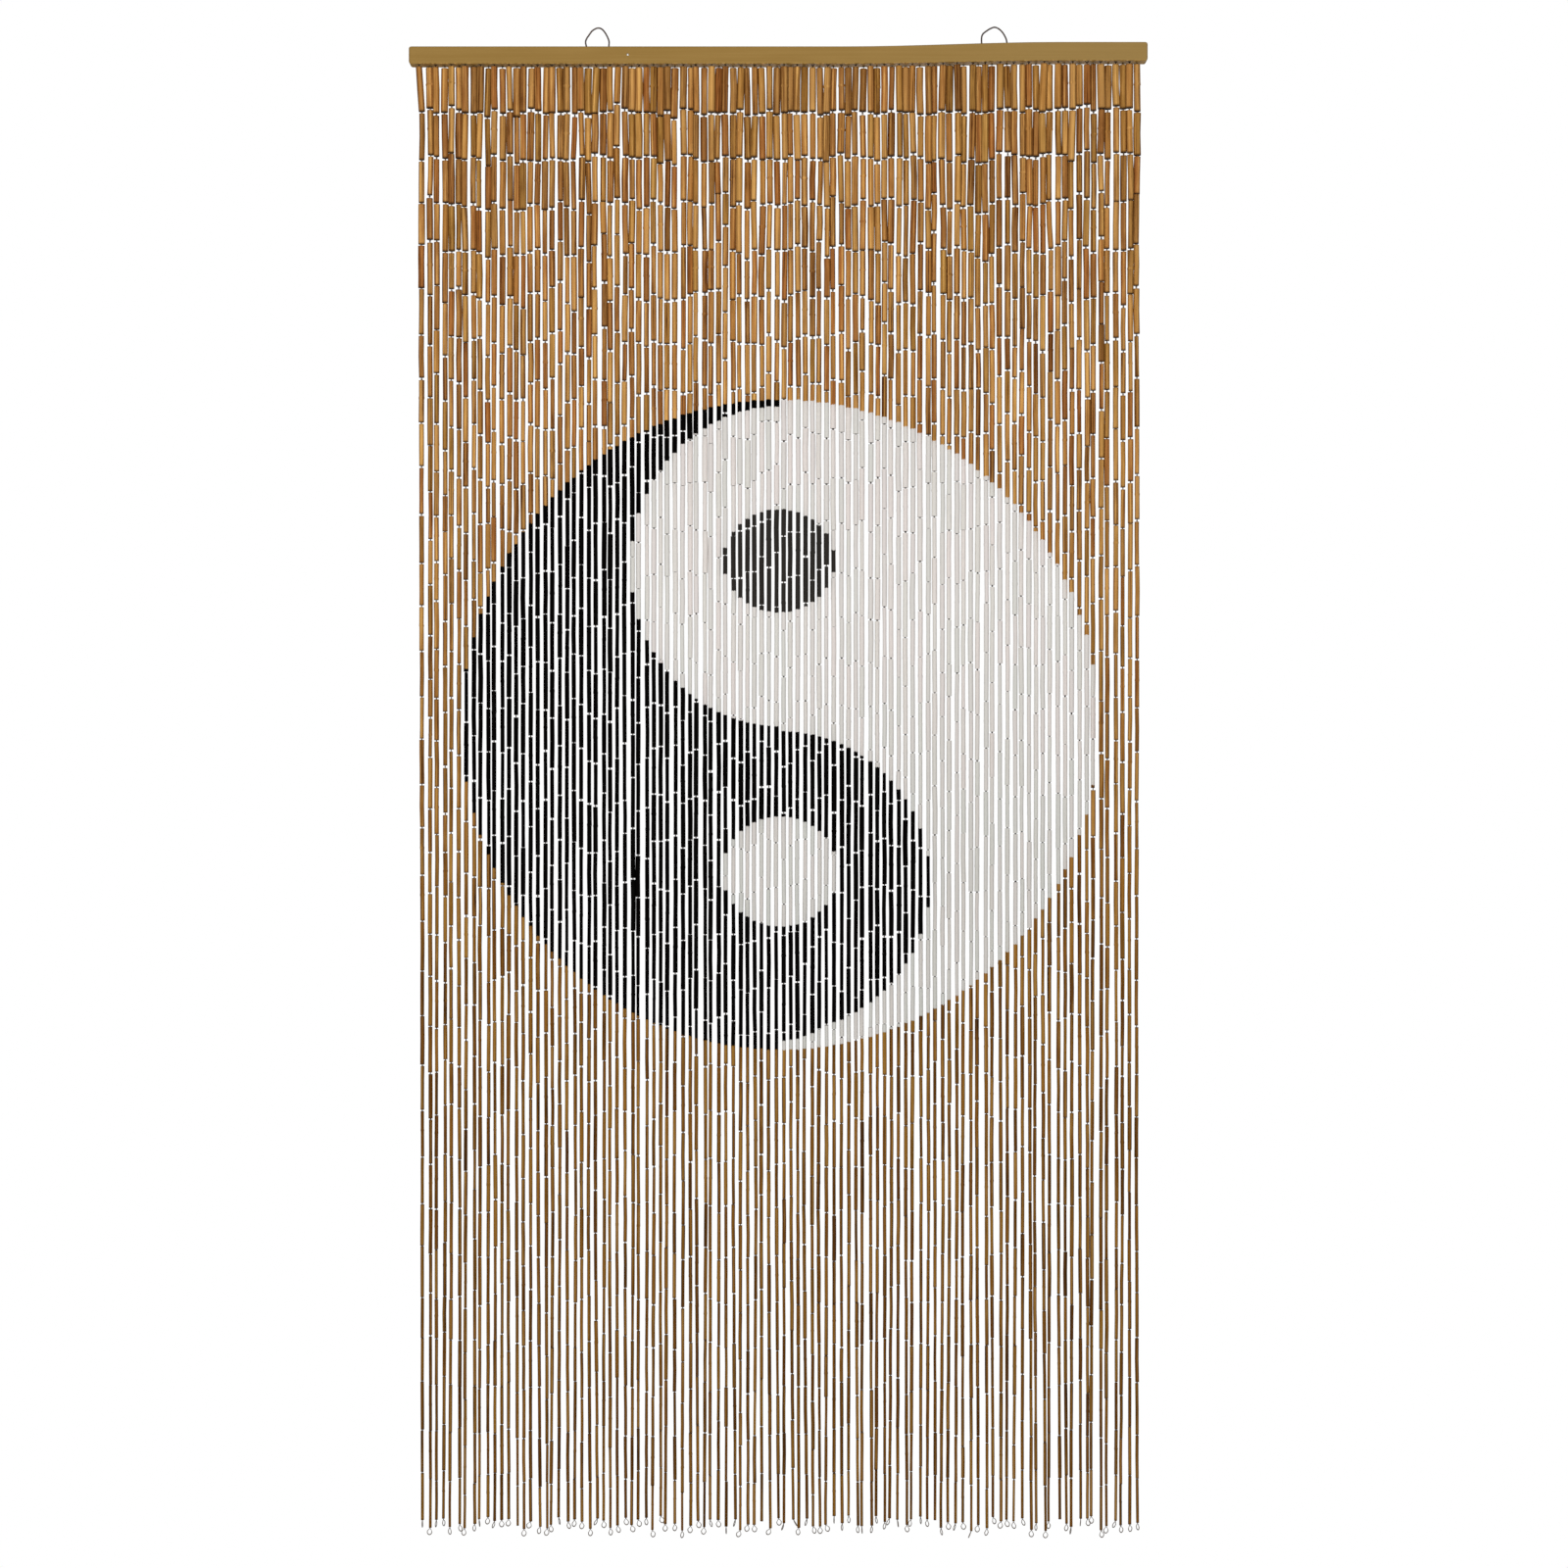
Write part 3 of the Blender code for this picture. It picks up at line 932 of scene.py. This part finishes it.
def bar_eye_form(bar_underside):
    """A bar eye with the strand's top eye in it, measured from the strand's top."""
    bm = bmesh.new()
    centre_z = bar_underside - BAR_EYE_DROP - TUBES_TOP_Z
    eye = add_eye(bm, BAR_EYE_RADIUS, BAR_EYE_WIRE, BAR_EYE_STEPS, LINK_SIDES)
    in_wood = [vert for vert in eye if vert.co.z > BAR_EYE_WIRE * 0.1]
    bmesh.ops.translate(bm, verts=in_wood, vec=(0, 0, BAR_EYE_LEG))
    bmesh.ops.translate(bm, verts=eye, vec=(0, 0, centre_z))
    hung = add_eye(bm, LINK_EYE, LINK_WIRE, LINK_EYE_STEPS, LINK_SIDES)
    hung_z = centre_z - BAR_EYE_RADIUS + BAR_EYE_WIRE + LINK_WIRE - LINK_EYE
    spun = Matrix.Rotation(math.pi / 2, 3, "Z")
    bmesh.ops.rotate(bm, verts=hung, cent=(0, 0, 0), matrix=spun)
    bmesh.ops.translate(bm, verts=hung, vec=(0, 0, hung_z))
    add_rod(bm, LINK_WIRE, LINK_SIDES, -LINK_STUB, hung_z - LINK_EYE)
    return finished_wire(bm)


bar_eye = bar_eye_form(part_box("header_bar")[0].z)
copies = []
for tubes in strand_tubes:
    placing = Matrix.Translation(tubes[0]["top"])
    placing = placing @ Matrix.Rotation(chance.gauss(0.0, BAR_EYE_TURN), 4, "Z")
    copies.append((bar_eye, placing, {}))
piece = join_copies("bar_eyes", copies, dark_wire)


# End eyes
# The wire of the last tube ends in an open, pear-shaped eye that hangs clear below it.
# Most eyes face the front, all lean a little, and a few have come off.

END_EYE_WIRE = 0.0006
END_EYE_RADIUS = 0.0032
END_EYE_STRETCH = 1.35
END_EYE_NECK = 0.0012
END_EYE_PINCH = 0.60
END_EYE_STEPS = 14
END_EYE_SIDES = 5
END_EYE_LEAN = 0.20
END_EYE_TURN = 0.75
END_EYES_LOST = (13, 47, 71, 88)


def end_eye_form():
    """A pear-shaped eye whose wire comes out of the tube above it."""
    bm = bmesh.new()
    eye = add_eye(bm, END_EYE_RADIUS, END_EYE_WIRE, END_EYE_STEPS, END_EYE_SIDES)
    for vert in eye:
        narrowing = END_EYE_PINCH * max(vert.co.z / END_EYE_RADIUS, 0.0)
        vert.co.x *= 1.0 - min(narrowing, END_EYE_PINCH)
        vert.co.z *= END_EYE_STRETCH
    top_z = END_EYE_RADIUS * END_EYE_STRETCH
    bmesh.ops.translate(bm, verts=eye, vec=(0, 0, -top_z - END_EYE_NECK))
    add_rod(bm, END_EYE_WIRE, LINK_SIDES, -END_EYE_NECK, LINK_STUB)
    return finished_wire(bm)


end_eye = end_eye_form()
copies = []
for number, tubes in enumerate(strand_tubes):
    if number in END_EYES_LOST:
        continue
    placing = Matrix.Translation(tubes[-1]["bottom"])
    placing = placing @ Matrix.Rotation(chance.gauss(0.0, END_EYE_LEAN), 4, "Y")
    placing = placing @ Matrix.Rotation(chance.gauss(0.0, END_EYE_TURN), 4, "Z")
    copies.append((end_eye, placing, {}))
pale_wire = thin_wire("pale_wire", rgb(136, 129, 121), rgb(98, 80, 66))
piece = join_copies("end_eyes", copies, pale_wire)


# Camera, light and floor
# Straight on at the curtain's mid height, from the photograph's distance. A white room
# gives an even light, and a broad lamp in front and one behind round the tubes.

PHOTO_PIXELS = 1600
METRES_PER_PIXEL = 0.00133
CAMERA_DISTANCE = 3.6
CAMERA_X = 0.0078
CAMERA_Z = -0.9983
SENSOR = 36.0
ROOM_LIGHT = 0.26
LAMP_SIZE = (1.6, 2.6)
LAMPS = (
    # lamp, where it stands (m), power (W)
    ("front_lamp", (-0.3, -3.8, -0.5), 108.0),
    ("back_lamp", (0.3, 3.8, -0.5), 62.0),
)
FLOOR_Z = -2.10
FLOOR_RADIUS = 2.5
FLOOR_SIDES = 96
FLOOR_GREY = (0.7, 0.7, 0.7, 1.0)
WHITE = (1.0, 1.0, 1.0, 1.0)

camera_data = bpy.data.cameras.new("camera")
camera_data.sensor_width = SENSOR
camera_data.lens = SENSOR * CAMERA_DISTANCE / (PHOTO_PIXELS * METRES_PER_PIXEL)
camera = bpy.data.objects.new("camera", camera_data)
camera.location = (CAMERA_X, -CAMERA_DISTANCE, CAMERA_Z)
camera.rotation_euler = (math.pi / 2, 0.0, 0.0)
bpy.context.scene.collection.objects.link(camera)
bpy.context.scene.camera = camera
bpy.context.scene.view_settings.view_transform = "Standard"

room = bpy.data.worlds.new("white_room")
room.use_nodes = True
bpy.context.scene.world = room
walls = room.node_tree.nodes["Background"]
walls.inputs["Color"].default_value = WHITE
walls.inputs["Strength"].default_value = ROOM_LIGHT
seen_walls = room.node_tree.nodes.new("ShaderNodeBackground")
seen_walls.inputs["Color"].default_value = WHITE
seen_walls.inputs["Strength"].default_value = 1.0
seen = room.node_tree.nodes.new("ShaderNodeLightPath")
either = room.node_tree.nodes.new("ShaderNodeMixShader")
room.node_tree.links.new(seen.outputs["Is Camera Ray"], either.inputs[0])
room.node_tree.links.new(walls.outputs[0], either.inputs[1])
room.node_tree.links.new(seen_walls.outputs[0], either.inputs[2])
room.node_tree.links.new(
    either.outputs[0], room.node_tree.nodes["World Output"].inputs["Surface"]
)

for name, spot, power in LAMPS:
    lamp_data = bpy.data.lights.new(name, "AREA")
    lamp_data.shape = "RECTANGLE"
    lamp_data.size, lamp_data.size_y = LAMP_SIZE
    lamp_data.energy = power
    lamp = bpy.data.objects.new(name, lamp_data)
    lamp.location = spot
    lamp.visible_camera = False
    aim = Vector((0.0, 0.0, CAMERA_Z)) - lamp.location
    lamp.rotation_euler = aim.to_track_quat("-Z", "Y").to_euler()
    bpy.context.scene.collection.objects.link(lamp)

floor_mesh = bpy.data.meshes.new("floor")
bm = bmesh.new()
bmesh.ops.create_circle(bm, cap_ends=True, segments=FLOOR_SIDES, radius=FLOOR_RADIUS)
bmesh.ops.translate(bm, verts=bm.verts, vec=(0.0, 0.0, FLOOR_Z))
bm.to_mesh(floor_mesh)
bm.free()
floor = bpy.data.objects.new("floor", floor_mesh)
bpy.context.scene.collection.objects.link(floor)
floor_finish = Finish("pale_floor")
floor_finish.surface(Base_Color=FLOOR_GREY, Roughness=0.8)
plain = Reading(floor_finish, floor_finish.shader.outputs[0])
seen_white = floor_finish.node("ShaderNodeEmission", sockets={"Strength": 1.0})
seen_by_camera = floor_finish.node("ShaderNodeLightPath")
either_floor = {0: seen_by_camera, 1: plain, 2: seen_white}
shown = floor_finish.node("ShaderNodeMixShader", sockets=either_floor)
floor_finish.join(floor_finish.nodes["Material Output"].inputs["Surface"], shown)
floor_mesh.materials.append(floor_finish.material)
